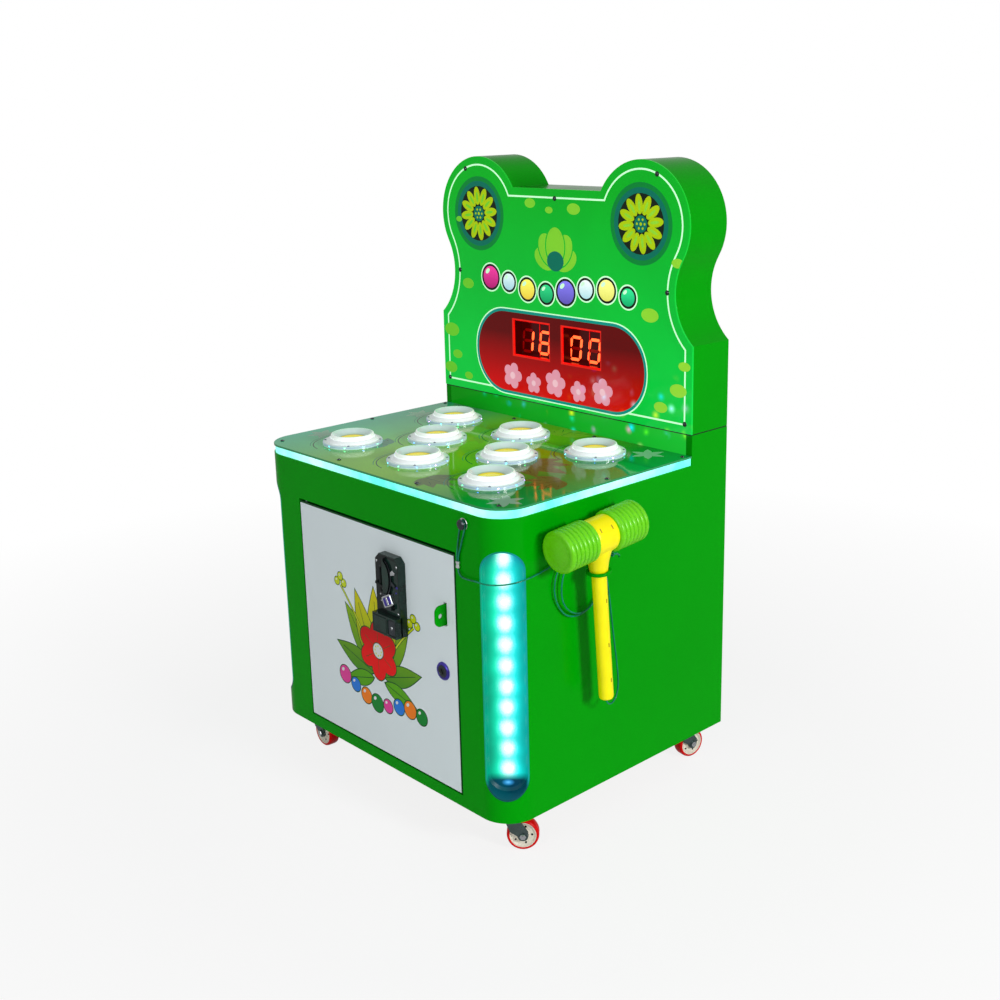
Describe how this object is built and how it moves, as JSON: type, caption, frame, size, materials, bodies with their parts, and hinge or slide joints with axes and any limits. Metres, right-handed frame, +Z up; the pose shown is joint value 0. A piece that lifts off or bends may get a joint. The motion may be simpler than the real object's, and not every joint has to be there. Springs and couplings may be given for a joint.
{
  "type": "mole pounding arcade machine",
  "caption": "Arcade cabinet on casters with lit pop-up moles to pound, a score sign with two round lobes, coin door, lit corners and a tethered soft mallet.",
  "frame": {"origin": "middle of the footprint on the floor, without the tether", "axes": "+Z up, the coin door and the player face -Y, the mallet hangs on the +X side"},
  "size_m": [0.668, 0.526, 1.0164],
  "materials": {
    "green_paint": "gloss",
    "white_door": "gloss",
    "clear_acrylic": "polished",
    "playfield_print": "gloss",
    "sign_print": "gloss",
    "glow_plastic": "satin",
    "mole_plastic": "gloss",
    "display_plastic": "gloss",
    "light_trough": "gloss",
    "led_board": "gloss",
    "black_plastic": "gloss",
    "chrome": "polished",
    "zinc_steel": "satin",
    "red_tread": "satin",
    "mallet_yellow": "satin",
    "bellows_green": "gloss",
    "cord_cover": "gloss",
    "board_wood": "matte",
    "circuit_board": "satin",
    "crimp_aluminium": "satin"
  },
  "bodies": {
    "cabinet": {"front_shell": "green_paint", "left_side_panel": "green_paint", "right_side_panel": "green_paint", "bottom_board": "board_wood", "back_panel": "green_paint", "riser_board": "green_paint", "playfield_board": "playfield_print", "glow_strip": "glow_plastic", "playfield_cover": "clear_acrylic", "mole_switch_board": "circuit_board", "sign_rim": "green_paint", "sign_back": "green_paint", "sign_front": "sign_print", "display_left": "display_plastic", "display_right": "display_plastic", "light_tray_left": "light_trough", "light_tray_right": "light_trough", "led_strip_left": "led_board", "led_strip_right": "led_board", "door_hinge_rod": "zinc_steel", "padlock_staple": "green_paint", "coin_box": "zinc_steel", "control_box": "zinc_steel", "speaker": "black_plastic", "power_inlet": "black_plastic", "tether_anchor": "chrome", "tether_eye": "cord_cover", "tether_ferrule": "crimp_aluminium", "tether_cord": "cord_cover", "mallet_holder": "green_paint", "caster_front_left_plate": "zinc_steel", "caster_front_right_plate": "zinc_steel", "caster_rear_left_plate": "zinc_steel", "caster_rear_right_plate": "zinc_steel"},
    "door": {"door_panel": "white_door", "coin_acceptor": "black_plastic", "lock_body": "chrome"},
    "reject_button": {"coin_reject_button": "chrome"},
    "return_flap": {"coin_return_flap": "clear_acrylic"},
    "lock_cam_body": {"lock_cam": "zinc_steel"},
    "mallet": {"mallet_handle": "mallet_yellow", "mallet_head_front": "bellows_green", "mallet_head_rear": "bellows_green"},
    "mole_1_body": {"mole_1": "mole_plastic"},
    "mole_2_body": {"mole_2": "mole_plastic"},
    "mole_3_body": {"mole_3": "mole_plastic"},
    "mole_4_body": {"mole_4": "mole_plastic"},
    "mole_5_body": {"mole_5": "mole_plastic"},
    "mole_6_body": {"mole_6": "mole_plastic"},
    "mole_7_body": {"mole_7": "mole_plastic"},
    "mole_8_body": {"mole_8": "mole_plastic"},
    "front_left_swivel": {"caster_front_left_fork": "zinc_steel"},
    "front_left_wheel": {"caster_front_left_wheel": "red_tread"},
    "front_right_swivel": {"caster_front_right_fork": "zinc_steel"},
    "front_right_wheel": {"caster_front_right_wheel": "red_tread"},
    "rear_left_swivel": {"caster_rear_left_fork": "zinc_steel"},
    "rear_left_wheel": {"caster_rear_left_wheel": "red_tread"},
    "rear_right_swivel": {"caster_rear_right_fork": "zinc_steel"},
    "rear_right_wheel": {"caster_rear_right_wheel": "red_tread"}
  },
  "joints": [
    {"name": "door_hinge", "type": "hinge", "parent": "cabinet", "child": "door", "pos_m": [-0.2173, -0.233, 0.28165], "axis": [0, 0, -1], "range_deg": [0, 110]},
    {"name": "reject_press", "type": "slide", "parent": "door", "child": "reject_button", "axis": [0, 1, 0], "range_m": [0, 0.003], "stiffness_N_per_m": 200, "springref_m": -0.006},
    {"name": "return_flap_hinge", "type": "hinge", "parent": "door", "child": "return_flap", "pos_m": [0.009, -0.2615, 0.3402], "axis": [1, 0, 0], "range_deg": [0, 60]},
    {"name": "lock_turn", "type": "hinge", "parent": "door", "child": "lock_cam_body", "pos_m": [0.131, -0.22245, 0.281], "axis": [0, -1, 0], "range_deg": [0, 90]},
    {"name": "mallet_lift", "type": "slide", "parent": "cabinet", "child": "mallet", "axis": [0, -0.0732, 0.9973], "range_m": [0, 0.24]},
    {"name": "mole_1_press", "type": "slide", "parent": "cabinet", "child": "mole_1_body", "axis": [0, 0, -1], "range_m": [0, 0.006], "stiffness_N_per_m": 300, "springref_m": -0.012},
    {"name": "mole_2_press", "type": "slide", "parent": "cabinet", "child": "mole_2_body", "axis": [0, 0, -1], "range_m": [0, 0.006], "stiffness_N_per_m": 300, "springref_m": -0.012},
    {"name": "mole_3_press", "type": "slide", "parent": "cabinet", "child": "mole_3_body", "axis": [0, 0, -1], "range_m": [0, 0.006], "stiffness_N_per_m": 300, "springref_m": -0.012},
    {"name": "mole_4_press", "type": "slide", "parent": "cabinet", "child": "mole_4_body", "axis": [0, 0, -1], "range_m": [0, 0.006], "stiffness_N_per_m": 300, "springref_m": -0.012},
    {"name": "mole_5_press", "type": "slide", "parent": "cabinet", "child": "mole_5_body", "axis": [0, 0, -1], "range_m": [0, 0.006], "stiffness_N_per_m": 300, "springref_m": -0.012},
    {"name": "mole_6_press", "type": "slide", "parent": "cabinet", "child": "mole_6_body", "axis": [0, 0, -1], "range_m": [0, 0.006], "stiffness_N_per_m": 300, "springref_m": -0.012},
    {"name": "mole_7_press", "type": "slide", "parent": "cabinet", "child": "mole_7_body", "axis": [0, 0, -1], "range_m": [0, 0.006], "stiffness_N_per_m": 300, "springref_m": -0.012},
    {"name": "mole_8_press", "type": "slide", "parent": "cabinet", "child": "mole_8_body", "axis": [0, 0, -1], "range_m": [0, 0.006], "stiffness_N_per_m": 300, "springref_m": -0.012},
    {"name": "front_left_swivel_turn", "type": "hinge", "parent": "cabinet", "child": "front_left_swivel", "pos_m": [-0.284, -0.189, 0.06], "axis": [0, 0, 1], "continuous": true},
    {"name": "front_left_wheel_spin", "type": "hinge", "parent": "front_left_swivel", "child": "front_left_wheel", "pos_m": [-0.26403, -0.19005, 0.025], "axis": [0.0523, 0.9986, 0], "continuous": true},
    {"name": "front_right_swivel_turn", "type": "hinge", "parent": "cabinet", "child": "front_right_swivel", "pos_m": [0.216, -0.189, 0.06], "axis": [0, 0, 1], "continuous": true},
    {"name": "front_right_wheel_spin", "type": "hinge", "parent": "front_right_swivel", "child": "front_right_wheel", "pos_m": [0.23014, -0.17486, 0.025], "axis": [-0.7071, 0.7071, 0], "continuous": true},
    {"name": "rear_left_swivel_turn", "type": "hinge", "parent": "cabinet", "child": "rear_left_swivel", "pos_m": [-0.284, 0.211, 0.06], "axis": [0, 0, 1], "continuous": true},
    {"name": "rear_left_wheel_spin", "type": "hinge", "parent": "rear_left_swivel", "child": "rear_left_wheel", "pos_m": [-0.27114, 0.19568, 0.025], "axis": [0.766, 0.6428, 0], "continuous": true},
    {"name": "rear_right_swivel_turn", "type": "hinge", "parent": "cabinet", "child": "rear_right_swivel", "pos_m": [0.216, 0.211, 0.06], "axis": [0, 0, 1], "continuous": true},
    {"name": "rear_right_wheel_spin", "type": "hinge", "parent": "rear_right_swivel", "child": "rear_right_wheel", "pos_m": [0.21947, 0.2307, 0.025], "axis": [-0.9848, 0.1736, 0], "continuous": true}
  ]
}
